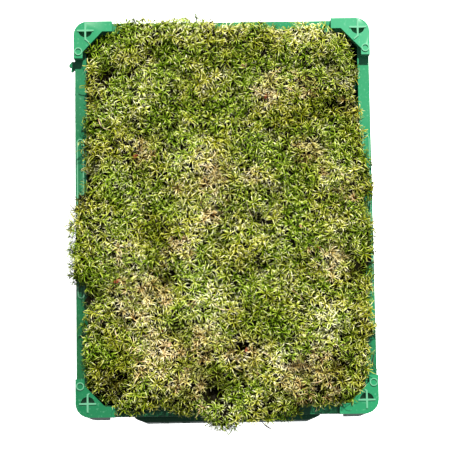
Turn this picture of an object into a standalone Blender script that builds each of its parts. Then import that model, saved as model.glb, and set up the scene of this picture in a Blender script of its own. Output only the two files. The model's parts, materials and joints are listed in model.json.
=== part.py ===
"""A moulded crate filled with handfuls of turf moss.

Metres, +Z up. The origin is the middle of the crate's underside, X runs along the short side
and Y along the long side.
"""

import math

import bmesh
import bpy
from mathutils import Matrix, Vector

MM = 0.001

# Crate, driving dimensions
CRATE_WIDTH = 300 * MM
CRATE_LENGTH = 400 * MM
CAP_TOP = 110 * MM
RIM_TOP = 100 * MM
WALL = 2.2 * MM
CORNER_RADIUS = 14 * MM
CORNER_STEPS = 6
# Joined shapes reach this far into each other, and cutters this far past a face
BITE = 0.3 * MM

# Body walls stand back from the outer envelope and lean in a little towards the floor
WALL_SETBACK = 10 * MM
WALL_DRAFT = 3 * MM
FOOT_HEIGHT = 3 * MM
FLOOR_TOP = 5.5 * MM
FOOT_WIDTH = 7 * MM
CROSS_RIB = 12 * MM

# Rim flange with its turned-down lip
RIM_INSET = 0.6 * MM
FLANGE = 2.5 * MM
LIP_DEPTH = 9 * MM
LIP_WALL = 2 * MM

# Bowed panel on each short side
PANEL_HALF = 93 * MM
PANEL_FLAT_HALF = 82 * MM
PANEL_BULGE = 4.5 * MM
PANEL_LOW = 18 * MM
PANEL_HIGH = 76 * MM

# Corner posts and their raised caps, measured inwards from the outer corner
GUSSET_X = 29 * MM
GUSSET_Y = 31.5 * MM
ARM_X = 39 * MM
ARM_Y = 38 * MM
ARM_WIDTH_X = 9 * MM
ARM_WIDTH_Y = 10.5 * MM
POST_STEP = 0.4 * MM
POST_FOOT = 1 * MM
CAP_THICKNESS = 7.4 * MM
# Half-round pocket in the cap, on the plus's side towards the crate's middle, and the plus
POCKET_RADIUS = 7 * MM
POCKET_DEPTH = 6 * MM
POCKET_STEPS = 10
PLUS_LENGTH = 17 * MM
PLUS_WIDTH = 1.9 * MM
PLUS_TAPER = 0.15 * MM
PLUS_PROUD = 0.8 * MM
PLUS_IN_X = 12 * MM
# Distance of the plus from the short side, and the length of its bent end
FAR_PLUS = (9.6 * MM, 3.5 * MM)
NEAR_PLUS = (13.6 * MM, 1.5 * MM)
RING_IN_X = 4.7 * MM
RING_IN_Y = 31 * MM
RING_OUTER = 4.1 * MM
RING_INNER = 3.0 * MM
RING_PROUD = 1 * MM
RING_STEPS = 12

# Slots, as pairs of lowest and highest level, and the ribs between them
SLOT_WIDTH = 8 * MM
SLOT_PITCH = 21 * MM
LONG_SLOTS = 14
PANEL_SLOTS = 7
OUTER_SLOT = 107 * MM
WALL_SLOT_LEVELS = ((13 * MM, 42 * MM), (56 * MM, 85 * MM))
PANEL_SLOT_LEVELS = ((24 * MM, 43 * MM), (53 * MM, 70 * MM))
BELT_LEVELS = (46 * MM, 49 * MM)
BELT_PROUD = 5 * MM
FIN_THICKNESS = 1.8 * MM
FIN_DEPTH = 7 * MM
FIN_PITCH = 63 * MM
FINS = 5
FLOOR_SLOTS = 12
FLOOR_SLOT_PITCH = 29 * MM
FLOOR_SLOT_WIDTH = 7 * MM
FLOOR_SLOT_ENDS = (12 * MM, 118 * MM)

# Raised bead on the long flanges, with a small chevron inside it
BEAD_HALF_LENGTH = 81 * MM
BEAD_HALF_WIDTH = 3.6 * MM
BEAD_WIDTH = 1.1 * MM
BEAD_PROUD = 0.8 * MM
BEAD_CENTRE = 144.4 * MM
BEAD_STEPS = 6
CHEVRON_TIP = 4 * MM
CHEVRON_RISE = 9 * MM
CHEVRON_HALF = 1.8 * MM

# Small pronged lug beside the far left cap
LUG_Y = 156 * MM
LUG_REACH = 5.5 * MM
LUG_LEVELS = (92.5 * MM, 98.5 * MM)

# Moss, driving dimensions. A turf is the place of its crown: x, y and height above the ground.
GAP = 0.4 * MM
MOSS_LEDGE = 1.2 * MM
LEDGE_RISE = 0.8 * MM
TURF_ANGLES = 20
TURVES = (
    (-92, 170, 127), (-34, 164, 131), (24, 172, 129), (92, 172, 127), (-120, 112, 128), (-66, 118, 133),
    (-8, 104, 134), (50, 112, 134), (100, 122, 129), (-112, 52, 131), (-44, 40, 136), (24, 38, 137),
    (84, 58, 133), (122, 76, 128), (-118, -16, 130), (-48, -28, 136), (14, -46, 136), (74, -22, 134),
    (128, 8, 129), (-84, -84, 131), (-20, -100, 133), (44, -90, 134), (110, -92, 131), (-116, -134, 127),
    (-62, -160, 130), (4, -152, 132), (48, -164, 131), (100, -150, 129),
)
# How far from the crate's middle a turf may reach above the rim, and the turves that hang over it
REACH = {"left": 139, "right": 139, "far": 188, "near": 188}
HANG_OVER = {
    1: {"far": 199}, 2: {"far": 200}, 3: {"far": 193}, 4: {"far": 192}, 14: {"right": 145}, 15: {"left": 153.5}, 19: {"right": 148},
    23: {"right": 151}, 25: {"near": 196}, 26: {"near": 212}, 27: {"near": 205},
}
# A turf that hangs over an end keeps clear of the cap's arm by a slanted limit past the arm's inner corner
ARM_LIMIT_ANGLE = math.radians(26)
# Shape of a turf's top: depth below the crown and share of the outline's width
TOP_RINGS = ((5 * MM, 1.0), (2.6 * MM, 0.88), (0.8 * MM, 0.55))
FOOT_SHARE = 0.97
# The heap rounds down by this much within this distance of its outer edge
EDGE_DROP = 6 * MM
EDGE_WIDTH = 20 * MM

HALF_X = CRATE_WIDTH / 2
HALF_Y = CRATE_LENGTH / 2
WALL_X = HALF_X - WALL_SETBACK
WALL_Y = HALF_Y - WALL_SETBACK
FLOOR_X = WALL_X - WALL_DRAFT
FLOOR_Y = WALL_Y - WALL_DRAFT
CORNERS = ((-1, -1), (1, -1), (-1, 1), (1, 1))


def clear_scene():
    for thing in list(bpy.data.objects):
        bpy.data.objects.remove(thing, do_unlink=True)


def collection(name, helper=False):
    group = bpy.data.collections.new(name)
    bpy.context.scene.collection.children.link(group)
    group.hide_render = helper
    return group


def material(name, colour, roughness):
    made = bpy.data.materials.new(name)
    made.use_nodes = True
    shader = made.node_tree.nodes["Principled BSDF"]
    shader.inputs["Base Color"].default_value = (*colour, 1)
    shader.inputs["Roughness"].default_value = roughness
    shader.inputs["Metallic"].default_value = 0
    made.diffuse_color = (*colour, 1)
    return made


def put(name, mesh, group):
    thing = bpy.data.objects.new(name, mesh)
    group.objects.link(thing)
    if group.hide_render:
        thing.hide_render = True
        thing.display_type = "WIRE"
    return thing


def boxes(name, spans, group):
    """One object that holds a box for each pair of opposite corners."""
    shape = bmesh.new()
    for one, other in spans:
        one, other = Vector(one), Vector(other)
        size = [abs(length) for length in other - one]
        place = Matrix.Translation((one + other) / 2) @ Matrix.Diagonal((*size, 1))
        bmesh.ops.create_cube(shape, size=1, matrix=place)
    mesh = bpy.data.meshes.new(name)
    shape.to_mesh(mesh)
    shape.free()
    return put(name, mesh, group)


def tapered_box(name, half_top, half_foot, low, high, group):
    """A box whose foot is smaller than its top."""
    top_x, top_y = half_top
    thing = boxes(name, [((-top_x, -top_y, low), (top_x, top_y, high))], group)
    for vertex in thing.data.vertices:
        if vertex.co.z < (low + high) / 2:
            vertex.co.x *= half_foot[0] / top_x
            vertex.co.y *= half_foot[1] / top_y
    return thing


def slab(name, outlines, low, high, group):
    """A flat solid from closed outlines, of which an inner one is a hole."""
    curve = bpy.data.curves.new(name, "CURVE")
    curve.dimensions = "2D"
    curve.fill_mode = "BOTH"
    curve.extrude = (high - low) / 2
    for outline in outlines:
        spline = curve.splines.new("POLY")
        spline.points.add(len(outline) - 1)
        for point, (x, y) in zip(spline.points, outline):
            point.co = (x, y, 0, 1)
        spline.use_cyclic_u = True
    flat = bpy.data.objects.new(name + "_outline", curve)
    flat.location.z = (low + high) / 2
    group.objects.link(flat)
    bpy.context.view_layer.update()
    graph = bpy.context.evaluated_depsgraph_get()
    mesh = bpy.data.meshes.new_from_object(flat.evaluated_get(graph))
    shape = bmesh.new()
    shape.from_mesh(mesh)
    bmesh.ops.remove_doubles(shape, verts=shape.verts, dist=1e-6)
    bmesh.ops.recalc_face_normals(shape, faces=shape.faces)
    shape.to_mesh(mesh)
    shape.free()
    thing = put(name, mesh, group)
    thing.matrix_world = flat.matrix_world.copy()
    bpy.data.objects.remove(flat)
    return thing


def combine(thing, steps):
    """Sets a Boolean for each (operation, other object), in their order."""
    for operation, other in steps:
        step = thing.modifiers.new(other.name, "BOOLEAN")
        step.operation = operation
        step.solver = "EXACT"
        step.object = other


def arc(centre, radius, start, end, steps):
    points = []
    for step in range(steps + 1):
        angle = start + (end - start) * step / steps
        points.append((centre[0] + radius * math.cos(angle), centre[1] + radius * math.sin(angle)))
    return points


def circle(centre, radius, steps):
    return arc(centre, radius, 0, 2 * math.pi, steps)[:-1]


def rounded_rectangle(half_x, half_y, radius, steps):
    points = []
    for quarter, (side_x, side_y) in enumerate(((1, 1), (-1, 1), (-1, -1), (1, -1))):
        centre = (side_x * (half_x - radius), side_y * (half_y - radius))
        start = quarter * math.pi / 2
        points += arc(centre, radius, start, start + math.pi / 2, steps)
    return points


def inset(outline, distance):
    """The same counter-clockwise outline with every side moved inwards."""
    moved = []
    for index, here in enumerate(outline):
        here = Vector(here)
        before = (here - Vector(outline[index - 1])).normalized()
        after = (Vector(outline[(index + 1) % len(outline)]) - here).normalized()
        inwards = Vector((-before.y - after.y, before.x + after.x))
        moved.append(tuple(here + inwards * distance / (1 + before.dot(after))))
    return moved


def rounded_corner():
    centre = (CORNER_RADIUS, CORNER_RADIUS)
    return arc(centre, CORNER_RADIUS, math.pi, 1.5 * math.pi, CORNER_STEPS)


def post_outline():
    """A corner post, measured inwards from the outer corner: round outside, cut off diagonally inside."""
    diagonal = [(GUSSET_X, ARM_WIDTH_Y), (ARM_WIDTH_X, GUSSET_Y)]
    return rounded_corner() + [(GUSSET_X, 0)] + diagonal + [(0, GUSSET_Y)]


def cap_outline():
    """The cap on a post, which has an arm along each side as well."""
    arm_x = [(ARM_X, 0), (ARM_X, ARM_WIDTH_Y), (GUSSET_X, ARM_WIDTH_Y)]
    arm_y = [(ARM_WIDTH_X, GUSSET_Y), (ARM_WIDTH_X, ARM_Y), (0, ARM_Y)]
    return rounded_corner() + arm_x + arm_y


def plus_outline(centre_y, bend):
    """A plus whose end towards the crate's inside bends off towards the gusset's edge."""
    end, thick, thin = PLUS_LENGTH / 2, PLUS_WIDTH / 2, PLUS_WIDTH / 2 - PLUS_TAPER
    outer_half = [(-end, thin), (-end, -thin), (-thick, -thick), (-thin, -end), (thin, -end), (thick, -thick)]
    inner_half = [(end, -thin), (end, thin), (thick, thick), (thin, end), (thin + bend, end + bend)]
    bent_end = [(bend, end + bend + thin), (-thin, end + thin), (-thick, thick)]
    return [(PLUS_IN_X + x, centre_y + y) for x, y in outer_half + inner_half + bent_end]


def at_corner(outline, side):
    return [(side[0] * (HALF_X - x), side[1] * (HALF_Y - y)) for x, y in outline]


def panel_outline(inwards):
    """Plan of both bowed end panels in one, less a wall thickness."""
    wide, flat = PANEL_HALF - inwards, PANEL_FLAT_HALF - inwards / 2
    base, bow = HALF_Y - inwards, HALF_Y + PANEL_BULGE - inwards
    far_end = [(wide, base), (flat, bow), (-flat, bow), (-wide, base)]
    return far_end + [(-x, -y) for x, y in far_end]


def underside_recesses(group):
    """Four shallow recesses, which leave a foot all round and a cross of two ribs to stand on."""
    inner = CROSS_RIB / 2
    outer_x, outer_y = FLOOR_X - FOOT_WIDTH, FLOOR_Y - FOOT_WIDTH
    spans = []
    for side_x, side_y in CORNERS:
        low = (side_x * inner, side_y * inner, -BITE)
        spans.append((low, (side_x * outer_x, side_y * outer_y, FOOT_HEIGHT)))
    return boxes("underside_recesses", spans, group)


def spread(count, pitch):
    """Places along a line, evenly spaced about zero."""
    return [(index - (count - 1) / 2) * pitch for index in range(count)]


def side_slots(group):
    """Slots of both long walls. Each cutter runs through the hollow to the wall opposite."""
    reach, half = HALF_X - LIP_WALL, SLOT_WIDTH / 2
    spans = []
    for low, high in WALL_SLOT_LEVELS:
        for y in spread(LONG_SLOTS, SLOT_PITCH):
            spans.append(((-reach, y - half, low), (reach, y + half, high)))
    return boxes("side_slots", spans, group)


def end_slots(group):
    """Slots of both short sides: a field of them in each panel, and two beside it."""
    reach, half = HALF_Y + 2 * PANEL_BULGE, SLOT_WIDTH / 2
    spans = []
    for low, high in PANEL_SLOT_LEVELS:
        for x in spread(PANEL_SLOTS, SLOT_PITCH):
            spans.append(((x - half, -reach, low), (x + half, reach, high)))
    for low, high in WALL_SLOT_LEVELS:
        for x in (-OUTER_SLOT, OUTER_SLOT):
            spans.append(((x - half, -reach, low), (x + half, reach, high)))
    return boxes("end_slots", spans, group)


def floor_slots(group):
    start, end = FLOOR_SLOT_ENDS
    half = FLOOR_SLOT_WIDTH / 2
    spans = []
    for y in spread(FLOOR_SLOTS, FLOOR_SLOT_PITCH):
        for side in (-1, 1):
            spans.append(((side * start, y - half, -BITE), (side * end, y + half, FLOOR_TOP + BITE)))
    return boxes("floor_slots", spans, group)


def belts(group):
    """Level ribs halfway up: along the long walls, and beside each end panel."""
    low, high = BELT_LEVELS
    into_wall = WALL_DRAFT
    end = HALF_Y - GUSSET_Y + 1 * MM
    spans = []
    for side in (-1, 1):
        near, far = side * (WALL_X - into_wall), side * (WALL_X + BELT_PROUD)
        spans.append(((near, -end, low), (far, end, high)))
    for side_x, side_y in CORNERS:
        one = (side_x * (PANEL_HALF - 1 * MM), side_y * (WALL_Y - into_wall), low)
        spans.append((one, (side_x * (HALF_X - GUSSET_X + 1 * MM), side_y * (WALL_Y + BELT_PROUD), high)))
    return boxes("belts", spans, group)


def fins(group):
    """Upright ribs that stiffen the flange, from the belt up to it."""
    low, high = BELT_LEVELS[1] - BITE, RIM_TOP - FLANGE + BITE
    half = FIN_THICKNESS / 2
    spans = []
    for side in (-1, 1):
        for y in spread(FINS, FIN_PITCH):
            near, far = side * (WALL_X - WALL_DRAFT / 2 - BITE), side * (WALL_X + FIN_DEPTH)
            spans.append(((near, y - half, low), (far, y + half, high)))
    return boxes("fins", spans, group)


def bead(side, group):
    """Long ring on the flange of one side, with half-round ends."""
    outlines = []
    for radius in (BEAD_HALF_WIDTH, BEAD_HALF_WIDTH - BEAD_WIDTH):
        middle = BEAD_HALF_LENGTH - BEAD_HALF_WIDTH
        upper = arc((side * BEAD_CENTRE, middle), radius, 0, math.pi, BEAD_STEPS)
        lower = arc((side * BEAD_CENTRE, -middle), radius, math.pi, 2 * math.pi, BEAD_STEPS)
        outlines.append(upper + lower)
    return slab(f"bead{side}", outlines, RIM_TOP - BITE, RIM_TOP + BEAD_PROUD, group)


def chevron(side, group):
    x, wide, thin = side * BEAD_CENTRE, CHEVRON_HALF, BEAD_WIDTH
    top = CHEVRON_TIP + CHEVRON_RISE
    left = [(x, CHEVRON_TIP), (x + wide, top), (x + wide - thin, top)]
    right = [(x, CHEVRON_TIP + 3 * thin), (x - wide + thin, top), (x - wide, top)]
    return slab(f"chevron{side}", [left + right], RIM_TOP - BITE, RIM_TOP + BEAD_PROUD, group)


def lug(group):
    """Two blunt prongs on one root, on the lip of the left side."""
    root, tip = HALF_X - RIM_INSET - LIP_WALL / 2, HALF_X + LUG_REACH
    second = HALF_X + LUG_REACH / 2
    outline = [
        (-root, LUG_Y + 5 * MM), (-second, LUG_Y + 5 * MM), (-tip, LUG_Y + 1.5 * MM),
        (-tip, LUG_Y), (-second, LUG_Y - 1 * MM), (-second - 0.8 * MM, LUG_Y - 5 * MM),
        (-second + 0.8 * MM, LUG_Y - 5.5 * MM), (-root, LUG_Y - 1.5 * MM),
    ]
    return slab("lug", [outline], *LUG_LEVELS, group)


def corner_steps(number, side, group):
    """Hollow post, cap with two arms, half-round pocket crossed by a plus, and a small ring."""
    name = f"corner{number}_"
    roof, cap_foot = CAP_TOP - CAP_THICKNESS, RIM_TOP - BITE
    pocket_floor = CAP_TOP - POCKET_DEPTH
    centre_y, bend = FAR_PLUS if side[1] > 0 else NEAR_PLUS
    post, cap = inset(post_outline(), POST_STEP), cap_outline()
    pocket = arc((PLUS_IN_X, centre_y), POCKET_RADIUS, 0, math.pi, POCKET_STEPS)
    rings = [circle((RING_IN_X, RING_IN_Y), radius, RING_STEPS) for radius in (RING_OUTER, RING_INNER)]
    shapes = [
        ("UNION", "post", [post], POST_FOOT, roof + WALL),
        ("UNION", "cap", [cap], cap_foot, CAP_TOP),
        ("DIFFERENCE", "post_hollow", [inset(post, WALL)], -BITE, roof - BITE),
        ("DIFFERENCE", "cap_hollow", [inset(cap, WALL)], cap_foot - BITE, roof),
        ("DIFFERENCE", "pocket", [pocket], pocket_floor, CAP_TOP + BITE),
        ("UNION", "plus", [plus_outline(centre_y, bend)], pocket_floor - BITE, CAP_TOP + PLUS_PROUD),
        ("UNION", "ring", rings, CAP_TOP - BITE, CAP_TOP + RING_PROUD),
    ]
    steps = []
    for operation, word, outlines, low, high in shapes:
        placed = [at_corner(outline, side) for outline in outlines]
        steps.append((operation, slab(name + word, placed, low, high, group)))
    return steps


def body_steps(group):
    """Rim, bowed panels and the hollow, then the channel under the flange and the underside."""
    under_flange = RIM_TOP - FLANGE
    rim = rounded_rectangle(HALF_X - RIM_INSET, HALF_Y - RIM_INSET, CORNER_RADIUS, CORNER_STEPS)
    hollow_top, hollow_foot = (WALL_X - WALL, WALL_Y - WALL), (FLOOR_X - WALL, FLOOR_Y - WALL)
    hollow = tapered_box("hollow", hollow_top, hollow_foot, FLOOR_TOP, RIM_TOP + BITE, group)
    behind = [panel_outline(WALL)]
    lip_inside = RIM_INSET + LIP_WALL
    outer = rounded_rectangle(HALF_X - lip_inside, HALF_Y - lip_inside, CORNER_RADIUS - LIP_WALL, CORNER_STEPS)
    channel = [outer, rounded_rectangle(WALL_X, WALL_Y, WALL, 1)]
    return [
        ("UNION", slab("rim", [rim], RIM_TOP - LIP_DEPTH, RIM_TOP, group)),
        ("UNION", slab("panels", [panel_outline(0)], PANEL_LOW, PANEL_HIGH, group)),
        ("DIFFERENCE", hollow),
        ("DIFFERENCE", slab("panel_hollow", behind, PANEL_LOW + WALL, PANEL_HIGH - WALL, group)),
        ("DIFFERENCE", slab("channel", channel, RIM_TOP - LIP_DEPTH - BITE, under_flange, group)),
        ("DIFFERENCE", underside_recesses(group)),
    ]


def build_crate(parts, cutters):
    crate = tapered_box("crate", (WALL_X, WALL_Y), (FLOOR_X, FLOOR_Y), 0, RIM_TOP - FLANGE, parts)
    steps = body_steps(cutters)
    for number, side in enumerate(CORNERS):
        steps += corner_steps(number, side, cutters)
    steps += [("DIFFERENCE", cutter(cutters)) for cutter in (side_slots, end_slots, floor_slots)]
    steps += [("UNION", rib(cutters)) for rib in (belts, fins, lug)]
    for side in (-1, 1):
        steps += [("UNION", bead(side, cutters)), ("UNION", chevron(side, cutters))]
    combine(crate, steps)
    return crate


def inside_limits(level):
    """Half-planes (normal, distance) that bound the crate's hollow at this level."""
    lean = WALL_DRAFT * (1 - level / RIM_TOP) if level < RIM_TOP else 0
    wide, long = WALL_X - WALL - lean - GAP, WALL_Y - WALL - lean - GAP
    limits = [((1, 0), wide), ((-1, 0), wide), ((0, 1), long), ((0, -1), long)]
    return limits + gusset_limits()


def gusset_limits():
    across = Vector((GUSSET_Y - ARM_WIDTH_Y, GUSSET_X - ARM_WIDTH_X)).normalized()
    distance = across.dot((HALF_X - GUSSET_X, HALF_Y - ARM_WIDTH_Y)) - GAP
    return [((side_x * across.x, side_y * across.y), distance) for side_x, side_y in CORNERS]


def upper_limits(index):
    """Half-planes that bound a turf above the rim, where an edge turf may hang over."""
    hang = HANG_OVER.get(index + 1, {})
    reach = {side: hang.get(side, usual) * MM for side, usual in REACH.items()}
    limits = gusset_limits()
    limits += [((-1, 0), reach["left"]), ((1, 0), reach["right"])]
    limits += [((0, 1), reach["far"]), ((0, -1), reach["near"])]
    if "far" in hang or "near" in hang:
        across = Vector((math.cos(ARM_LIMIT_ANGLE), math.sin(ARM_LIMIT_ANGLE)))
        distance = across.dot((HALF_X - ARM_X, HALF_Y - ARM_WIDTH_Y)) - GAP
        limits += [((side_x * across.x, side_y * across.y), distance) for side_x, side_y in CORNERS]
    return limits


def neighbour_limits(index):
    """Half-planes midway to every other turf, so that each takes the room nearest to it."""
    here = Vector(TURVES[index][:2]) * MM
    limits = []
    for other, turf in enumerate(TURVES):
        if other == index:
            continue
        there = Vector(turf[:2]) * MM
        away = (there - here).normalized()
        limits.append((tuple(away), away.dot((here + there) / 2) - GAP))
    return limits


def ring_of(centre, limits, share):
    """Points of a closed outline about the centre, at a share of the way to the nearest limit."""
    points = []
    for step in range(TURF_ANGLES):
        angle = 2 * math.pi * step / TURF_ANGLES
        ray = Vector((math.cos(angle), math.sin(angle)))
        reach = []
        for normal, distance in limits:
            facing = ray.dot(normal)
            if facing > 0:
                reach.append((distance - centre.dot(normal)) / facing)
        points.append(centre + ray * min(reach) * share)
    return points


def edge_drop(point, limits):
    """How far the heap's surface has sunk at a point near one of its outer limits."""
    away = min(distance - point.dot(normal) for normal, distance in limits)
    nearness = max(0, 1 - away / EDGE_WIDTH)
    return EDGE_DROP * nearness * nearness


def build_turf(index, group):
    """A handful of moss: a loft from its foot on the floor, over the rim, to a rounded crown."""
    x, y, crown = TURVES[index]
    centre, crown = Vector((x, y)) * MM, crown * MM
    neighbours = neighbour_limits(index)
    ledge = RIM_TOP + MOSS_LEDGE
    foot = FLOOR_TOP + GAP
    outer = upper_limits(index)
    above = neighbours + outer
    rings = [
        (foot, 0, ring_of(centre, neighbours + inside_limits(foot), FOOT_SHARE)),
        (ledge, 0, ring_of(centre, neighbours + inside_limits(ledge), 1)),
        (ledge + LEDGE_RISE, 0, ring_of(centre, above, 1)),
    ]
    rings += [(crown - depth, 1, ring_of(centre, above, share)) for depth, share in TOP_RINGS]

    shape = bmesh.new()
    levels = []
    for height, rounded, ring in rings:
        drops = [rounded * edge_drop(point, outer) for point in ring]
        levels.append([shape.verts.new((*point, height - drop)) for point, drop in zip(ring, drops)])
    shape.faces.new(list(reversed(levels[0])))
    for lower, upper in zip(levels, levels[1:]):
        for step in range(TURF_ANGLES):
            after = (step + 1) % TURF_ANGLES
            shape.faces.new((lower[step], lower[after], upper[after], upper[step]))
    peak = shape.verts.new((*centre, crown - edge_drop(centre, outer)))
    for step in range(TURF_ANGLES):
        shape.faces.new((levels[-1][step], levels[-1][(step + 1) % TURF_ANGLES], peak))
    bmesh.ops.triangulate(shape, faces=shape.faces)
    name = f"moss_turf_{index + 1:02d}"
    mesh = bpy.data.meshes.new(name)
    shape.to_mesh(mesh)
    shape.free()
    return put(name, mesh, group)


def main():
    clear_scene()
    parts = collection("moss_clump")
    cutters = collection("cutters", helper=True)
    plastic = material("green_polypropylene", (0.05, 0.45, 0.22), 0.45)
    moss = material("turf_moss", (0.22, 0.27, 0.05), 0.9)
    crate = build_crate(parts, cutters)
    crate.data.materials.append(plastic)
    for index in range(len(TURVES)):
        turf = build_turf(index, parts)
        turf.data.materials.append(moss)
        turf.data.shade_smooth()
        turf.data.set_sharp_from_angle(angle=math.radians(50))


main()
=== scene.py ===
# %% [markdown]
# # Turf moss in a moulded crate
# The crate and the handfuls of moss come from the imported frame, at their real size, in metres.
# This script gives them their looks. Each handful is a plain solid in the frame, and here it
# becomes a cushion of moss shoots that fills the same space. The crate's own solid is copied,
# its edges are rounded as a mould leaves them, and it gets its plastic.

# %% Load the frame
import json
import math
import random

import bmesh
import bpy
from mathutils import Euler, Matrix, Quaternion, Vector, noise
from mathutils.bvhtree import BVHTree

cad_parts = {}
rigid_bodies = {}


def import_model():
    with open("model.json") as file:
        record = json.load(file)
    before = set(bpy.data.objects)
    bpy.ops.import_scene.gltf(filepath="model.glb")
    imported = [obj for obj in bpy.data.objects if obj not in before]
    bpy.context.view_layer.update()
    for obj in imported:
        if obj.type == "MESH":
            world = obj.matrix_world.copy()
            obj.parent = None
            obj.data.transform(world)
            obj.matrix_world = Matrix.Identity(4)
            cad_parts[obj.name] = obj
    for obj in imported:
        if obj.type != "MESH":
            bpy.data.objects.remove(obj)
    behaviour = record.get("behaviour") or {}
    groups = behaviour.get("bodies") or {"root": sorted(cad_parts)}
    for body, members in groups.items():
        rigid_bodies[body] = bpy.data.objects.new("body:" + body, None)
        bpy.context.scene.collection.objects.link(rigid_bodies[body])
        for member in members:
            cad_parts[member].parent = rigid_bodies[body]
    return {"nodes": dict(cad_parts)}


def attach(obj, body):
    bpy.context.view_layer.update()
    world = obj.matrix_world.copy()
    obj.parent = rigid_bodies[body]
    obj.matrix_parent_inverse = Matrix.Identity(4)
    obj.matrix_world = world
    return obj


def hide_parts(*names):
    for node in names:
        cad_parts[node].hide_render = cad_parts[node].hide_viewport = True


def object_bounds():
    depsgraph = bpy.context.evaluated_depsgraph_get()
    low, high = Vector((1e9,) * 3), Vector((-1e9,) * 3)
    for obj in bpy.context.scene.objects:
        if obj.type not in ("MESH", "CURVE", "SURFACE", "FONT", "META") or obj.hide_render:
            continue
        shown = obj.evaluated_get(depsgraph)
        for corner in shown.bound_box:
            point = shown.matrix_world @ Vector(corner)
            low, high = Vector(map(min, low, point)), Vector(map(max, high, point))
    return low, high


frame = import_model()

MM = 0.001
BODY = "root"
cad_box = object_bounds()
turf_names = sorted(name for name in frame["nodes"] if name.startswith("moss_turf_"))
print("frame:", len(turf_names), "turves and a crate, box", [tuple(round(v, 4) for v in c) for c in cad_box])

# %% [markdown]
# ## The camera
# The photo looks down from about two metres, seven degrees off the vertical, so the crate's near
# wall shows as a thin dark line. A long lens keeps the sides almost parallel. The place and the
# turn were worked out from the crate's four corners in the photo.

# %% Place the camera
PHOTO_SIDE = 450
FOCAL_LENGTH_IN_PIXELS = 1908.3
SENSOR = 36
CAMERA_PLACE = Vector((-14.7, -256.1, 2002.2)) * MM
CAMERA_TURN = Euler([math.radians(angle) for angle in (7.41, -0.341, -0.897)])

camera_data = bpy.data.cameras.new("camera")
camera_data.sensor_width = SENSOR
camera_data.lens = SENSOR * FOCAL_LENGTH_IN_PIXELS / PHOTO_SIDE
camera_data.clip_end = 20
camera = bpy.data.objects.new("camera", camera_data)
camera.location = CAMERA_PLACE
camera.rotation_euler = CAMERA_TURN
bpy.context.scene.collection.objects.link(camera)
bpy.context.scene.camera = camera
print("camera: lens", round(camera_data.lens, 1), "mm")


# %% [markdown]
# Patches of colour and dark clefts are easiest to name by where they show in the photo. This
# helper turns a pixel of the photo, counted from its top left corner, into a place on the level
# plane at a given height.

# %% From the photo to the crate
MOSS_LEVEL = 130 * MM
RIM_LEVEL = 100 * MM


def from_photo(across, down, height=MOSS_LEVEL):
    middle = PHOTO_SIDE / 2
    ray = Vector((across - middle, middle - down, -FOCAL_LENGTH_IN_PIXELS))
    ray.rotate(CAMERA_TURN)
    return CAMERA_PLACE + ray * ((height - CAMERA_PLACE.z) / ray.z)


print("photo's middle lies at", tuple(round(v / MM, 1) for v in from_photo(225, 225)), "mm")

# %% [markdown]
# ## Materials
# Colours are written as the sRGB hex values that a picture editor shows, and one function turns
# them into the linear values that Blender's shaders want. Another small function adds a node,
# sets it up and links it.


# %% Material helpers
def linear(hex_colour):
    channels = [int(hex_colour[place:place + 2], 16) / 255 for place in (1, 3, 5)]
    return [c / 12.92 if c <= 0.04045 else ((c + 0.055) / 1.055) ** 2.4 for c in channels] + [1]


def add(tree, kind, inputs=None, **settings):
    """Adds a node, applies its settings, then fills or links its inputs, named or numbered."""
    made = tree.nodes.new(kind)
    for name, value in settings.items():
        setattr(made, name, value)
    for key, value in (inputs or {}).items():
        if isinstance(value, bpy.types.NodeSocket):
            tree.links.new(value, made.inputs[key])
        else:
            made.inputs[key].default_value = value
    return made


def new_material(name, **values):
    made = bpy.data.materials.new(name)
    made.use_nodes = True
    shader = made.node_tree.nodes["Principled BSDF"]
    for socket, value in values.items():
        shader.inputs[socket.replace("_", " ")].default_value = value
    return made, made.node_tree, shader


# %% [markdown]
# ## Floor and light
# A plain pale floor, an even and weak white surround, and one key light from the photo's top,
# slightly from the right, at about 47 degrees. The key's shadows on the crate's rims in the photo
# are eight to ten millimetres long behind a step of ten, and they are deep. A lamp of its own,
# linked to the floor only, keeps the floor evenly white, as a studio's backdrop lamp does.

# %% Set up the studio
FLOOR_SIDE = 12
KEY_HEIGHT_ANGLE = math.radians(47)
KEY_SIDE_ANGLE = math.radians(12)
KEY_STRENGTH = 7.6
KEY_SPREAD = math.radians(2.5)
SURROUND_STRENGTH = 0.3
FLOOR_LAMP_STRENGTH = 5

scene = bpy.context.scene
scene.view_settings.view_transform = "Standard"
world = bpy.data.worlds.new("white_surround")
world.use_nodes = True
background = world.node_tree.nodes["Background"]
background.inputs["Color"].default_value = linear("#F4F9FF")
background.inputs["Strength"].default_value = SURROUND_STRENGTH
scene.world = world


def sun(name, strength, spread, towards):
    lamp = bpy.data.objects.new(name, bpy.data.lights.new(name, "SUN"))
    lamp.data.energy = strength
    lamp.data.angle = spread
    lamp.rotation_euler = Vector(towards).to_track_quat("Z", "Y").to_euler()
    scene.collection.objects.link(lamp)
    return lamp


key = sun("key", KEY_STRENGTH, KEY_SPREAD, (
    math.sin(KEY_SIDE_ANGLE) * math.cos(KEY_HEIGHT_ANGLE),
    math.cos(KEY_SIDE_ANGLE) * math.cos(KEY_HEIGHT_ANGLE),
    math.sin(KEY_HEIGHT_ANGLE)))
key.data.color = linear("#FFFBF0")[:3]

floor_mesh = bpy.data.meshes.new("floor")
half = FLOOR_SIDE / 2
corners = [(-half, -half, 0), (half, -half, 0), (half, half, 0), (-half, half, 0)]
floor_mesh.from_pydata(corners, [], [(0, 1, 2, 3)])
floor = bpy.data.objects.new("floor", floor_mesh)
scene.collection.objects.link(floor)
white, _, _ = new_material("white_paper", Base_Color=linear("#F4F4F4"), Roughness=0.9)
floor_mesh.materials.append(white)
floor.visible_diffuse = False
floor.visible_glossy = False

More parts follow.
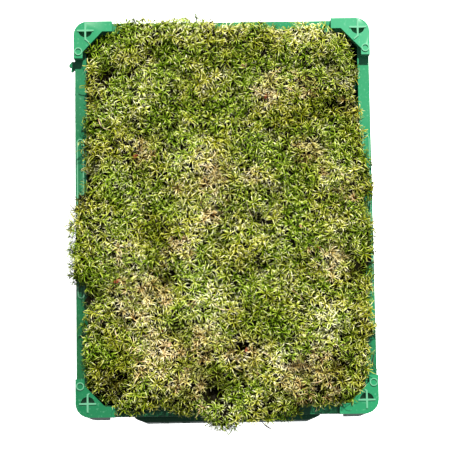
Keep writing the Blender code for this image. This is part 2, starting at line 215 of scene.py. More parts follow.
floor_lamp = sun("floor lamp", FLOOR_LAMP_STRENGTH, KEY_SPREAD, (0, 0, 1))
floor_only = bpy.data.collections.new("floor only")
floor_only.objects.link(floor)
floor_lamp.light_linking.receiver_collection = floor_only
floor_lamp.light_linking.blocker_collection = floor_only
print("studio: key at", round(math.degrees(KEY_HEIGHT_ANGLE)), "degrees")

# %% [markdown]
# ## The crate
# The crate is one injection moulding of polypropylene. No edge of a moulding is knife sharp, and
# the small rounding is what catches the light along its ribs. The frame's solid is copied, its
# loose triangles are merged and its flat faces joined, and a bevel of 0.6 mm rounds what is sharp.

# %% Polypropylene
PLASTIC_SHADES = ("#024A24", "#0C6640", "#1C8458", "#36986E")
PLASTIC_RUBBED_HIGHLIGHT = "#86C8A8"
IOR_POLYPROPYLENE = 1.49
# Where the plastic sits on its colour ramp, 0 to 1: at the rim, how much lighter the caps are (painted shade
# on the lower rim), and per metre across and along (painted reflection, lighter towards the far right
# corner)
RAMP_AT_RIM, CAPS_PAINTED_LIGHTER, PAINTED_REFLECTION_ACROSS, PAINTED_REFLECTION_ALONG = 0.36, 0.3, 1.16, 1.03
# How unevenly it has faded, and the size of the uneven spots as a noise scale
FADED_UNEVENLY, FADED_SPOTS = 0.36, 26
CAP_LEVEL, PROUD_RISE = 110 * MM, 0.45 * MM


def polypropylene():
    """Moulded green polypropylene: waxy, with a painted reflection lighter towards the far right corner,
    painted shade on the lower rim, and worn pale with a painted highlight where it stands proud.
    """
    made, tree, shader = new_material("moulded_polypropylene", Roughness=0.32, IOR=IOR_POLYPROPYLENE)

    def maths(operation, one, other, third=0.0):
        return add(tree, "ShaderNodeMath", {0: one, 1: other, 2: third}, operation=operation).outputs[0]

    def step(value, low, high):
        limits = {"Value": value, "From Min": low, "From Max": high}
        return add(tree, "ShaderNodeMapRange", limits).outputs[0]

    def noise_at(scale, detail):
        inputs = {"Vector": place, "Scale": scale, "Detail": detail}
        return add(tree, "ShaderNodeTexNoise", inputs).outputs["Fac"]

    place = add(tree, "ShaderNodeTexCoord").outputs["Object"]
    parts = add(tree, "ShaderNodeSeparateXYZ", {0: place}).outputs
    on_caps = step(parts["Z"], RIM_LEVEL + 3 * MM, RIM_LEVEL + 7 * MM)
    # Painted reflection: the colour is lighter towards the far right corner. Painted shade: the rim below
    # the caps is darker. The noise is random uneven tone.
    tone_and_painted_light = maths("MULTIPLY_ADD", parts["X"], PAINTED_REFLECTION_ACROSS, maths("MULTIPLY", parts["Y"], PAINTED_REFLECTION_ALONG))
    tone_and_painted_light = maths("MULTIPLY_ADD", on_caps, CAPS_PAINTED_LIGHTER, tone_and_painted_light)
    tone_and_painted_light = maths("MULTIPLY_ADD", noise_at(FADED_SPOTS, 3), FADED_UNEVENLY, tone_and_painted_light)
    tone_and_painted_light = maths("ADD", tone_and_painted_light, RAMP_AT_RIM - FADED_UNEVENLY / 2)
    colour = add(tree, "ShaderNodeValToRGB", {"Fac": tone_and_painted_light})
    points = colour.color_ramp.elements
    points.new(0.33)
    points.new(0.66)
    for number, (point, shade) in enumerate(zip(points, PLASTIC_SHADES)):
        point.position = number / 3
        point.color = linear(shade)
    # What stands proud of the caps and rim is made paler: partly rubbing wear, partly a painted highlight
    # along the raised ribs and rings. The scratches are real wear.
    above_caps = step(parts["Z"], CAP_LEVEL + PROUD_RISE / 2, CAP_LEVEL + PROUD_RISE)
    above_rim = step(parts["Z"], RIM_LEVEL + PROUD_RISE / 2, RIM_LEVEL + PROUD_RISE)
    rubbed_and_highlit = maths("MAXIMUM", above_caps, maths("MULTIPLY", above_rim, maths("SUBTRACT", 1.0, on_caps)))
    scratched = step(noise_at(420, 2), 0.6, 0.72)
    wear_and_highlight = maths("MAXIMUM", maths("MULTIPLY", rubbed_and_highlit, 0.4), maths("MULTIPLY", scratched, 0.2))
    mixed = add(tree, "ShaderNodeMix", {0: wear_and_highlight, 6: colour.outputs["Color"], 7: linear(PLASTIC_RUBBED_HIGHLIGHT)},
                data_type="RGBA").outputs[2]
    tree.links.new(mixed, shader.inputs["Base Color"])
    roughness = maths("MULTIPLY_ADD", noise_at(60, 2), 0.16, 0.24)
    tree.links.new(maths("MULTIPLY_ADD", wear_and_highlight, 0.2, roughness), shader.inputs["Roughness"])
    return made


# %% Round the crate's edges
EDGE_ROUNDING = 0.6 * MM
FLAT_ENOUGH = math.radians(0.6)
SHARP_ANGLE = math.radians(30)


def plain_copy(node, name):
    """A merged copy of a frame node, whose mesh there is loose triangles."""
    mesh = frame["nodes"][node].data.copy()
    mesh.name = name
    mesh.materials.clear()
    shape = bmesh.new()
    shape.from_mesh(mesh)
    bmesh.ops.remove_doubles(shape, verts=shape.verts, dist=1e-6)
    bmesh.ops.dissolve_limit(shape, angle_limit=FLAT_ENOUGH, verts=shape.verts, edges=shape.edges)
    shape.to_mesh(mesh)
    shape.free()
    thing = bpy.data.objects.new(name, mesh)
    scene.collection.objects.link(thing)
    return thing


crate = plain_copy("crate", "moulded_crate")
rounding = crate.modifiers.new("rounded edges", "BEVEL")
rounding.width = EDGE_ROUNDING
rounding.segments = 2
rounding.limit_method = "ANGLE"
rounding.angle_limit = SHARP_ANGLE
rounding.harden_normals = True
crate.data.materials.append(polypropylene())
crate.data.shade_smooth()
crate.data.set_sharp_from_angle(angle=SHARP_ANGLE)
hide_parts("crate")
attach(crate, BODY)
print("crate:", len(crate.data.polygons), "faces before rounding")

# %% [markdown]
# ## Moss colour
# One material serves all the moss. The shoots carry their own attributes: how far along its leaf
# a point is (tip), how far down the shoot the leaf sits (depth), a chance number of the leaf and
# of the shoot, and how dry the shoot is. The colours of fresh turf moss run from olive at the
# stem to cream-lime at the leaf's tip, and a soft noise makes some handfuls more yellow or lighter.

# %% Moss material
GREEN_DEEP = "#203200"
GREEN_MID = "#66880C"
GREEN_LIGHT = "#BACE52"
GREEN_TIP = "#F2F6C6"
YELLOW_DEEP = "#383C00"
YELLOW_MID = "#929614"
YELLOW_LIGHT = "#D8D672"
YELLOW_TIP = "#FCF8D2"
STRAW_DEEP = "#4E3014"
STRAW_MID = "#B8985A"
STRAW_LIGHT = "#E8D49C"
STRAW_TIP = "#FAF0CC"
CLEFT_BROWN_AND_SHADE = "#3A1C0C"
LEAF_MOULD_AND_SHADE = "#0E0C02"
HANDFUL_SCALE = 24
SHADE_SCALE = 17


def turf_moss():
    """Leaves of living and dried moss: matt, thin-skinned, cream at the tips, olive below, with painted
    shade darkening them low down and in the clefts.
    """
    made, tree, shader = new_material("turf_moss_leaves", Roughness=0.6, Specular_IOR_Level=0.04)

    def attribute(name):
        return add(tree, "ShaderNodeAttribute", attribute_name=name).outputs["Fac"]

    def maths(operation, one, other, third=0.0):
        return add(tree, "ShaderNodeMath", {0: one, 1: other, 2: third}, operation=operation).outputs[0]

    def mixed(share, one, other):
        return add(tree, "ShaderNodeMix", {0: share, 6: one, 7: other}, data_type="RGBA").outputs[2]

    def soft_noise(vector, scale):
        inputs = {"Vector": vector, "Scale": scale, "Detail": 2}
        return add(tree, "ShaderNodeTexNoise", inputs).outputs["Fac"]

    def ramp(share, stops):
        made_ramp = add(tree, "ShaderNodeValToRGB", {"Fac": share})
        points = made_ramp.color_ramp.elements
        while len(points) < len(stops):
            points.new(0.5)
        for point, (place, colour) in zip(points, stops):
            point.position = place
            point.color = linear(colour)
        return made_ramp.outputs["Color"]

    tip, depth, leaf, shoot = (attribute(name) for name in ("tip", "depth", "leaf", "shoot"))
    # The place on the colour ramps: mostly how far along the leaf, and partly chance and the patches
    along = maths("MULTIPLY_ADD", leaf, 0.4, tip)
    along = maths("MULTIPLY_ADD", shoot, 0.25, along)
    along = maths("MULTIPLY_ADD", attribute("bright"), 0.25, along)
    place = add(tree, "ShaderNodeTexCoord").outputs["Object"]
    along = maths("MULTIPLY_ADD", soft_noise(place, SHADE_SCALE), 0.8, along)
    along = maths("SUBTRACT", along, 0.76)
    green = ramp(along, [(0.08, GREEN_DEEP), (0.42, GREEN_MID), (0.72, GREEN_LIGHT), (0.96, GREEN_TIP)])
    yellow = ramp(along, [(0.08, YELLOW_DEEP), (0.42, YELLOW_MID), (0.72, YELLOW_LIGHT), (0.96, YELLOW_TIP)])
    dry = ramp(along, [(0.08, STRAW_DEEP), (0.38, STRAW_MID), (0.68, STRAW_LIGHT), (0.96, STRAW_TIP)])
    handful = maths("SUBTRACT", soft_noise(place, HANDFUL_SCALE), 0.54)
    tone = maths("MULTIPLY_ADD", handful, 3.4, shoot)
    leaves = mixed(tone, green, yellow)
    leaves = mixed(attribute("dry"), leaves, dry)
    # In the clefts the colour turns dark brown: dead strands, and painted shade in the clefts.
    leaves = mixed(maths("MULTIPLY", attribute("sunken"), 0.75), leaves, linear(CLEFT_BROWN_AND_SHADE))
    # Further down the shoot, and on the bed, the colour goes to near black: old stems and leaf mould, and
    # painted shade under the stars.
    tree.links.new(mixed(depth, leaves, linear(LEAF_MOULD_AND_SHADE)), shader.inputs["Base Color"])
    return made


moss = turf_moss()

# %% [markdown]
# ## Moss shoots
# A shoot of springy turf moss is a thin reddish stem with a star of pointed leaves at its top:
# short upright leaves in the middle, longer ones round them that bend back towards their tips,
# and older leaves down the stem. A leaf here is a slim closed spindle, pointed at both ends, with
# a keel below. The leaves of the star have two or three bends, and so look curved, and the short
# and the old leaves have one. A few kinds of shoot are made once, and Geometry Nodes set them out
# by the thousand.

# %% Leaves and stems
GOLDEN_ANGLE = math.radians(137.5)
LEAF_WIDTH = 0.66 * MM
KEEL = 0.24 * MM
UP = Vector((0, 0, 1))


def add_leaf(shape, layers, base, heading, twist, length, angles, depth, chance):
    """One leaf from a point of the stem. Its stretches, one an angle, rise or droop by that angle."""
    stretch = length / len(angles)
    points = [shape.verts.new(base)]
    rings = []
    place = base
    for step, angle in enumerate(angles):
        turned = heading + twist * step
        out = Vector((math.cos(turned), math.sin(turned), 0))
        place = place + (out * math.cos(angle) + UP * math.sin(angle)) * stretch
        if step == len(angles) - 1:
            break
        after = (angle + angles[step + 1]) / 2
        across = Vector((-out.y, out.x, 0)) * LEAF_WIDTH / 2 * (1 - 0.15 * step)
        below = (out * math.sin(after) - UP * math.cos(after)) * KEEL
        rings.append([shape.verts.new(place + side) for side in (across, -across, below)])
    tip = shape.verts.new(place)
    for corner in range(3):
        beside = (corner + 1) % 3
        shape.faces.new((points[0], rings[0][beside], rings[0][corner]))
        for lower, upper in zip(rings, rings[1:]):
            shape.faces.new((lower[corner], lower[beside], upper[beside], upper[corner]))
        shape.faces.new((rings[-1][corner], rings[-1][beside], tip))
    marked = [(points[0], 0), (tip, 1)]
    for step, ring in enumerate(rings):
        marked += [(point, (step + 1) / len(angles)) for point in ring]
    for point, share in marked:
        point[layers["tip"]] = share
        point[layers["depth"]] = depth
        point[layers["leaf"]] = chance


def add_stem(shape, layers, length, width, lean):
    """A slim three-sided stem under the star, closed at both ends."""
    rings = []
    for level, share in ((0, 0.8), (-length, 1)):
        middle = Vector((lean * level, 0, level))
        ring = []
        for turn in range(3):
            angle = turn * 2 * math.pi / 3
            side = Vector((math.cos(angle), math.sin(angle), 0))
            ring.append(shape.verts.new(middle + side * width / 2 * share))
        rings.append(ring)
    top, foot = rings
    for turn in range(3):
        after = (turn + 1) % 3
        shape.faces.new((foot[turn], foot[after], top[after], top[turn]))
    shape.faces.new(top)
    shape.faces.new(list(reversed(foot)))
    # The stem counts as low down the shoot, so it takes a darker colour, partly painted shade.
    for point in top + foot:
        point[layers["tip"]] = 0.1
        point[layers["depth"]] = 0.6
        point[layers["leaf"]] = 0.3


# %% Kinds of shoot
# A whorl is: leaves, their length, height of their base (millimetres), the angles of a leaf's
# stretches (degrees over the level), and how far down the shoot they count for colour, where
# further down is darker: older leaves, and painted shade.
FULL_STAR = [
    (3, 4.0, 0.0, (76, 54), 0.0), (11, 7.4, -0.5, (52, 18, -22), 0.0), (7, 7.0, -2.8, (32, -10, -42), 0.3),
    (4, 6.0, -7.0, (20, -36), 0.8),
]
SMALL_STAR = [
    (3, 3.4, 0.0, (80, 62), 0.0), (9, 6.0, -0.5, (58, 26, -10), 0.0), (6, 6.2, -2.6, (36, -2, -34), 0.3),
    (4, 5.4, -6.5, (20, -34), 0.8),
]
OPEN_STAR = [
    (3, 4.4, 0.0, (74, 46), 0.0), (9, 9.0, -0.5, (44, 6, -36), 0.0), (5, 7.8, -3.0, (26, -18, -48), 0.3),
    (4, 6.2, -7.5, (16, -42), 0.8),
]
ARCHING_STAR = [
    (3, 5.6, 0.0, (78, 50), 0.0), (9, 11.4, -0.6, (66, 28, -14, -52), 0.0),
    (5, 10.0, -3.4, (46, 4, -42), 0.3), (3, 6.6, -7.5, (20, -40), 0.8),
]
LOOSE_STRAW = [
    (3, 6.0, 0.0, (70, 38), 0.0), (7, 9.0, -1.6, (58, 24, -16), 0.0), (6, 8.6, -4.4, (46, 10, -24), 0.3),
    (4, 7.0, -8.0, (38, 0), 0.65),
]
LONG_STRAW = [
    (3, 8.6, 0.0, (78, 56, 30), 0.0), (6, 12.6, -2.4, (66, 36, -2, -36), 0.0),
    (4, 10.4, -6.0, (54, 14, -20), 0.3), (3, 7.6, -10.0, (44, 4), 0.65),
]
LOW_STAR = [(5, 6.4, 0.0, (58, 22, -10), 0.6), (3, 4.8, 0.0, (80, 50), 0.5)]
SHOOT_KINDS = {
    "fresh_0": (FULL_STAR, 12), "fresh_1": (SMALL_STAR, 11), "fresh_2": (OPEN_STAR, 12),
    "fresh_3": (FULL_STAR, 12), "fresh_4": (ARCHING_STAR, 12), "fresh_5": (ARCHING_STAR, 12),
    "low_0": (LOW_STAR, 4), "low_1": (LOW_STAR, 4),
    "straw_0": (LOOSE_STRAW, 13), "straw_1": (LONG_STRAW, 15), "straw_2": (LOOSE_STRAW, 13),
}
FRESH_KINDS = 6
LOW_KINDS = 2
STEM_WIDTH = 0.5 * MM
LEAF_JITTER = math.radians(14)
TWIST_JITTER = math.radians(20)
LENGTH_JITTER = 0.18


def shoot(name, whorls, stem_length, group, chance):
    shape = bmesh.new()
    layers = {key: shape.verts.layers.float.new(key) for key in ("tip", "depth", "leaf")}
    heading = 0
    for count, length, height, angles, depth in whorls:
        for _ in range(count):
            heading += GOLDEN_ANGLE
            stray = chance.gauss(0, LEAF_JITTER)
            bends = [math.radians(angle) + stray + chance.gauss(0, LEAF_JITTER) for angle in angles]
            add_leaf(
                shape, layers, Vector((0, 0, height + chance.uniform(-0.6, 0.4))) * MM,
                heading + chance.gauss(0, LEAF_JITTER), chance.gauss(0, TWIST_JITTER),
                length * MM * chance.gauss(1, LENGTH_JITTER), bends, depth, chance.random())
    add_stem(shape, layers, stem_length * MM, STEM_WIDTH, chance.uniform(-0.15, 0.15))
    bmesh.ops.recalc_face_normals(shape, faces=shape.faces)
    mesh = bpy.data.meshes.new(name)
    shape.to_mesh(mesh)
    shape.free()
    made = bpy.data.objects.new(name, mesh)
    group.objects.link(made)
    return made


chance = random.Random(7)
shoot_group = bpy.data.collections.new("shoot kinds")
for name, (whorls, stem_length) in SHOOT_KINDS.items():
    kind = shoot(name, whorls, stem_length, shoot_group, chance)
    print("shoot kind", name, "with", sum(len(f.vertices) - 2 for f in kind.data.polygons), "triangles")

# %% [markdown]
# ## Where the moss is straw, bright or sunken, and where its edge lies
# Lifted moss is never even. Older, drier handfuls are straw coloured, and where two handfuls part
# one looks into a dark brown cleft, dark partly from dead strands and partly from painted shade.
# The heap's edge lies over the rim in one place and behind it in the next. The lists below say
# where, as places in the photo with a radius in millimetres.

# %% Patches
CLEFTS = [
    (106, 72, 8), (334, 70, 11), (341, 104, 9), (90, 175, 9), (266, 70, 4), (236, 90, 4), (160, 138, 5),
    (283, 148, 4), (320, 145, 4), (150, 217, 5), (100, 237, 5), (222, 240, 5), (163, 278, 5), (115, 272, 5),
    (93, 294, 5), (122, 300, 5), (97, 333, 6), (352, 274, 9), (245, 347, 5), (268, 340, 5), (113, 385, 10),
    (214, 391, 13), (242, 380, 5), (298, 372, 7), (300, 405, 5), (336, 366, 8), (160, 410, 6),
]
STRAW_PATCHES = [
    (142, 150, 12), (212, 178, 22), (212, 205, 14), (250, 175, 8), (272, 88, 14), (305, 82, 10),
    (310, 152, 14), (350, 100, 6), (349, 190, 8), (332, 255, 14), (115, 256, 9), (120, 283, 5),
    (140, 295, 24), (165, 350, 22), (200, 340, 22), (190, 375, 20), (248, 352, 14), (145, 370, 10),
    (315, 372, 24), (290, 385, 16), (178, 247, 9),
]
BRIGHT_PATCHES = [
    (110, 112, 9), (130, 140, 9), (125, 175, 12), (180, 168, 8), (245, 175, 8), (218, 195, 9),
    (275, 185, 9), (320, 127, 11), (325, 260, 9), (140, 283, 9), (205, 317, 22), (225, 360, 9),
    (280, 358, 9), (330, 325, 12),
]
# The fourth number is how far the heap's edge draws back there, in millimetres: below zero it reaches out
EDGE_MOVES = [
    (362, 60, 24, 6), (362, 90, 24, 6), (362, 122, 24, 7), (372, 258, 16, 4), (375, 290, 18, 8),
    (375, 316, 20, 9), (372, 346, 9, -8), (84, 60, 22, 4), (84, 95, 22, 4), (70, 198, 13, 10),
    (372, 212, 16, 8), (163, 412, 12, 7), (236, 427, 11, -8), (272, 424, 8, 8), (305, 418, 13, 12),
    (322, 405, 6, -7), (287, 422, 5, -3), (118, 395, 8, 3),
]


def patches(listed):
    return [(from_photo(across, down).xy, radius * MM) for across, down, radius in listed]


def strength(place, listed):
    """How much a place lies in the nearest of the patches: 1 in its middle, fading to 0."""
    best = 0
    for middle, radius in listed:
        away = (place.xy - middle).length / radius
        best = max(best, math.exp(-away * away))
    return best


def edge_move(place):
    """How far the heap's edge draws back at this place."""
    total = 0
    for (middle, radius), (_, _, _, distance) in zip(edge_patches, EDGE_MOVES):
        away = (place.xy - middle).length / radius
        total += distance * MM * math.exp(-away * away)
    return total


clefts = patches(CLEFTS)
straw_patches = patches(STRAW_PATCHES)
bright_patches = patches(BRIGHT_PATCHES)
edge_patches = patches([place[:3] for place in EDGE_MOVES])
print("patches:", len(clefts), "clefts,", len(straw_patches), "straw,", len(bright_patches), "bright")

# %% [markdown]
# ## The turves
# Each handful is built from its plain solid. One copy is the dark bed of stems and leaf mould that
# shows in the gaps; its near-black colour is partly painted shade. It lies lower than the solid's
# top and swells a little towards its neighbours, as pressed moss does, so that no light falls
# between them. A finer copy, just under the outside, is the ground that the shoots' stars sit on.
# It carries the patches as attributes, and each shoot takes them on where it stands.

# %% Bed and ground of a turf
LEDGE_LEVEL = 101 * MM
# How far a surface lies inside the plain solid: beside another turf, at the heap's edge, and from above
GROUND_INSETS = (0.2 * MM, 1.6 * MM, 2.6 * MM)
BED_INSETS = (-2.4 * MM, 3.0 * MM, 7.0 * MM)
CLEFT_DEPTH = 12 * MM
SWELLS = ((34 * MM, 8 * MM), (15 * MM, 4 * MM))
EDGE_RAGGEDNESS, RAGGED_SIZE = 5 * MM, 20 * MM
# How far from its middle a turf is moved in full, how fast it sinks above the ledge, and the least gap there
FULL_REACH, SINK_RATE, LEDGE_GAP = 12 * MM, 1.6, 0.3 * MM
# How far inside the frame's box the ground stays, because the shoots' tips reach past it
BOX_MARGIN = 2 * MM
GROUND_CUTS = 3
BED_CUTS = 1
BESIDE = 4 * MM

peaks = {}
for node in turf_names:
    highest = max(frame["nodes"][node].data.vertices, key=lambda point: point.co.z)
    peaks[node] = highest.co.copy()


def nearest_turf(place):
    return min(turf_names, key=lambda node: (peaks[node].xy - place.xy).length_squared)


def outwards(point, node):
    """Level direction away from the turf's middle, and the distance to it."""
    away = (point - peaks[node]).to_2d()
    return (away.normalized().to_3d(), away.length) if away.length > 1e-6 else (Vector(), 0)


def at_edge(point, node):
    """Whether there is no other turf beyond this point of the turf."""
    direction, _ = outwards(point, node)
    return nearest_turf(point + direction * BESIDE) == node


def settled(point, node, insets):
    """The point moved in from the turf's outside, and down into the clefts and swells."""
    beside, outside, down = insets
    crown = peaks[node].z
    if point.z < LEDGE_LEVEL - 1 * MM:
        return point
    direction, reach = outwards(point, node)
    inwards = beside
    if at_edge(point, node):
        ragged = noise.noise(point.to_2d().to_3d() / RAGGED_SIZE) * EDGE_RAGGEDNESS
        inwards = outside + edge_move(point) + ragged
    above = max(0, min(1, SINK_RATE * (point.z - LEDGE_LEVEL) / (crown - LEDGE_LEVEL)))
    swell = sum((noise.noise(point / size) * 0.5 + 0.5) * depth for size, depth in SWELLS)
    sunk = strength(point, clefts) * CLEFT_DEPTH + swell
    height = max(LEDGE_LEVEL + LEDGE_GAP, point.z - (down + sunk) * above)
    moved = point - direction * inwards * min(1, reach / FULL_REACH)
    low, high = cad_box
    return Vector((
        max(low[0] + BOX_MARGIN, min(high[0] - BOX_MARGIN, moved.x)),
        max(low[1] + BOX_MARGIN, min(high[1] - BOX_MARGIN, moved.y)), height))


def turf_base(node, insets, cuts, only_top):
    """A mesh of the turf's outside, moved in. With only_top it is only what lies over the rim."""
    shape = bmesh.new()
    shape.from_mesh(frame["nodes"][node].data)
    bmesh.ops.remove_doubles(shape, verts=shape.verts, dist=1e-6)
    if only_top:
        lower = [face for face in shape.faces if min(v.co.z for v in face.verts) < LEDGE_LEVEL]
        bmesh.ops.delete(shape, geom=lower, context="FACES")
    over_rim = [edge for edge in shape.edges if min(v.co.z for v in edge.verts) > LEDGE_LEVEL]
    bmesh.ops.subdivide_edges(shape, edges=over_rim, cuts=cuts, use_grid_fill=True)
    bmesh.ops.triangulate(shape, faces=[face for face in shape.faces if len(face.verts) > 3])
    for point in shape.verts:
        point.co = settled(point.co.copy(), node, insets)
    return shape


def as_object(shape, name, group):
    bmesh.ops.recalc_face_normals(shape, faces=shape.faces)
    mesh = bpy.data.meshes.new(name)
    shape.to_mesh(mesh)
    shape.free()
    made = bpy.data.objects.new(name, mesh)
    group.objects.link(made)
    return made


STEEP = 0.25
UNDERSIDE = -0.3
SIDE_GROWTH = 0.3
SIDE_FOOT = 14 * MM
CLEFT_THINNING = 0.8


def growth(point, node):
    """How densely shoots grow at a point of the turf's surface: fully on top, thinly on the heap's sides."""
    if point.normal.z > STEEP:
        return 1
    if point.normal.z < UNDERSIDE or not at_edge(point.co, node) or point.co.z < SIDE_FOOT:
        return 0
    return 1 if point.co.z > LEDGE_LEVEL else SIDE_GROWTH


def paint(mesh, node):
    """Stores on the ground how straw, bright and sunken the moss is, and how densely shoots grow."""
    values = {"straw": [], "bright": [], "sunken": [], "grows": []}
    for point in mesh.vertices:
        values["straw"].append(strength(point.co, straw_patches))
        values["bright"].append(strength(point.co, bright_patches))
        values["sunken"].append(strength(point.co, clefts))
        values["grows"].append(growth(point, node) * (1 - CLEFT_THINNING * values["sunken"][-1]))
    for name, numbers in values.items():
        mesh.attributes.new(name, "FLOAT", "POINT").data.foreach_set("value", numbers)


# %% [markdown]
# The tree scatters shoots evenly over the ground and low ones over the bed, coloured dark as old
# leaves and as painted shade. It turns each one out from the surface with a little chance lean and
# combs neighbours the same way, picks a fresh or a straw kind by the ground's straw value, and
# joins the result to the bed.

# %% Geometry Nodes: scatter the shoots
COMBING_SCALE = 34
# Points a square metre that are tried before the spacing thins them out
MOST_DENSE = 400000.0


def scatter_tree():
    tree = bpy.data.node_groups.new("moss shoots", "GeometryNodeTree")
    sockets = {}
    for name, kind in (
            ("Bed", "Geometry"), ("Ground", "Object"), ("Shoots", "Collection"), ("Spacing", "Float"),
            ("Low Spacing", "Float"), ("Lean", "Float"), ("Combing", "Float"), ("Rise", "Float"),
            ("Size", "Float"), ("Upright", "Float"), ("Seed", "Int"), ("Finish", "Material")):
        socket = tree.interface.new_socket(name, in_out="INPUT", socket_type="NodeSocket" + kind)
        sockets[name] = socket.identifier
    tree.interface.new_socket("Moss", in_out="OUTPUT", socket_type="NodeSocketGeometry")
    given = add(tree, "NodeGroupInput").outputs

    def chance_value(low, high, seed, whole=False):
        kind, first, out = ("INT", 4, 2) if whole else ("FLOAT", 2, 1)
        mixed = add(tree, "ShaderNodeMath", {0: given["Seed"], 1: seed}, operation="ADD").outputs[0]
        values = {first: low, first + 1: high, "Seed": mixed}
        return add(tree, "FunctionNodeRandomValue", values, data_type=kind).outputs[out]

    def maths(operation, one, other):
        return add(tree, "ShaderNodeMath", {0: one, 1: other}, operation=operation).outputs[0]

    def vector_maths(operation, inputs):
        return add(tree, "ShaderNodeVectorMath", inputs, operation=operation).outputs[0]

    def stored(name):
        return add(tree, "GeometryNodeInputNamedAttribute", {"Name": name}, data_type="FLOAT").outputs[0]

    def store(points, name, value):
        inputs = {"Geometry": points, "Name": name, "Value": value}
        return add(tree, "GeometryNodeStoreNamedAttribute", inputs,
                   data_type="FLOAT", domain="POINT").outputs[0]

    def storey(surface, spacing, seed, fresh_from, fresh_to):
        """One storey of shoots on a surface, fresh ones of the kinds from and to these numbers."""
        spread = add(tree, "GeometryNodeDistributePointsOnFaces", {
            "Mesh": surface, "Distance Min": spacing, "Density Max": MOST_DENSE,
            "Density Factor": stored("grows"), "Seed": maths("ADD", given["Seed"], float(seed)),
        }, distribute_method="POISSON")
        up = add(tree, "FunctionNodeInputVector", vector=(0, 0, 1)).outputs[0]
        aim = add(tree, "ShaderNodeMix", {0: given["Upright"], 4: spread.outputs["Normal"], 5: up},
                  data_type="VECTOR").outputs[1]
        cloud = add(tree, "ShaderNodeTexNoise", {"Scale": COMBING_SCALE, "Detail": 1.0}).outputs["Color"]
        comb = vector_maths("SUBTRACT", {0: cloud, 1: (0.5, 0.5, 0.5)})
        comb = vector_maths("SCALE", {0: comb, 3: given["Combing"]})
        aim = vector_maths("ADD", {0: aim, 1: comb})
        turned = add(tree, "FunctionNodeAlignRotationToVector", {"Vector": aim}, axis="Z").outputs[0]
        against = maths("MULTIPLY", given["Lean"], -1.0)
        tilt = add(tree, "ShaderNodeCombineXYZ", {
            "X": chance_value(against, given["Lean"], seed + 1),
            "Y": chance_value(against, given["Lean"], seed + 2),
            "Z": chance_value(0.0, 2 * math.pi, seed + 3)}).outputs[0]
        tilt = add(tree, "FunctionNodeEulerToRotation", {"Euler": tilt}).outputs[0]
        turned = add(tree, "FunctionNodeRotateRotation", {"Rotation": turned, "Rotate By": tilt},
                     rotation_space="LOCAL").outputs[0]
        straw = stored("straw")
        is_straw = add(tree, "FunctionNodeCompare", {0: chance_value(0.02, 1.3, seed + 4), 1: straw},
                       data_type="FLOAT", operation="LESS_THAN").outputs[0]
        fresh_kind = chance_value(fresh_from, fresh_to, seed + 5, whole=True)
        straw_kind = chance_value(FRESH_KINDS + LOW_KINDS, len(SHOOT_KINDS) - 1, seed + 6, whole=True)
        kind = add(tree, "GeometryNodeSwitch", {"Switch": is_straw, "False": fresh_kind, "True": straw_kind},
                   input_type="INT").outputs[0]
        half_straw = maths("MULTIPLY", maths("MULTIPLY", straw, chance_value(0.2, 1.0, seed + 8)), 0.6)
        dryness = add(tree, "GeometryNodeSwitch", {
            "Switch": is_straw, "False": half_straw, "True": chance_value(0.45, 1.0, seed + 9)},
            input_type="FLOAT").outputs[0]
        drop = maths("MULTIPLY", given["Rise"], -0.4)
        rise = chance_value(drop, given["Rise"], seed + 11)
        lifted = vector_maths("SCALE", {0: spread.outputs["Normal"], 3: rise})
        points = add(tree, "GeometryNodeSetPosition", {
            "Geometry": spread.outputs["Points"], "Offset": lifted}).outputs[0]
        points = store(points, "shoot", chance_value(0.0, 1.0, seed + 7))
        points = store(points, "dry", dryness)
        kinds = add(tree, "GeometryNodeCollectionInfo", {
            "Collection": given["Shoots"], "Separate Children": True, "Reset Children": True}).outputs[0]
        size = maths("MULTIPLY", given["Size"], chance_value(0.74, 1.26, seed + 10))
        shoots = add(tree, "GeometryNodeInstanceOnPoints", {
            "Points": points, "Instance": kinds, "Pick Instance": True, "Instance Index": kind,
            "Rotation": turned, "Scale": size}).outputs[0]
        return add(tree, "GeometryNodeRealizeInstances", {"Geometry": shoots}).outputs[0]

    ground = add(tree, "GeometryNodeObjectInfo", {"Object": given["Ground"]}).outputs["Geometry"]
    upper = storey(ground, given["Spacing"], 100, 0, FRESH_KINDS - 1)
    lower = storey(given["Bed"], given["Low Spacing"], 200, FRESH_KINDS, FRESH_KINDS + LOW_KINDS - 1)
    together = add(tree, "GeometryNodeJoinGeometry")
    tree.links.new(given["Bed"], together.inputs[0])
    tree.links.new(lower, together.inputs[0])
    tree.links.new(upper, together.inputs[0])
    finished = add(tree, "GeometryNodeSetMaterial", {
        "Geometry": together.outputs[0], "Material": given["Finish"]}).outputs[0]
    add(tree, "NodeGroupOutput", {0: finished})
    return tree, sockets


shoots_tree, shoots_sockets = scatter_tree()

# %% Build every turf
SPACING = 6.2 * MM
LOW_SPACING = 6.4 * MM
LEAN = math.radians(22)
COMBING = 1.5
RISE = 3 * MM
SIZE = 1.12
UPRIGHT = 0.35
SEEDS_APART = 20


def bake(thing, name):
    """The evaluated result as a plain mesh on the same object, with no modifier left."""
    bpy.context.view_layer.update()
    evaluated = thing.evaluated_get(bpy.context.evaluated_depsgraph_get())
    mesh = bpy.data.meshes.new_from_object(evaluated)
    mesh.name = name
    thing.modifiers.clear()
    thing.data = mesh
    return thing


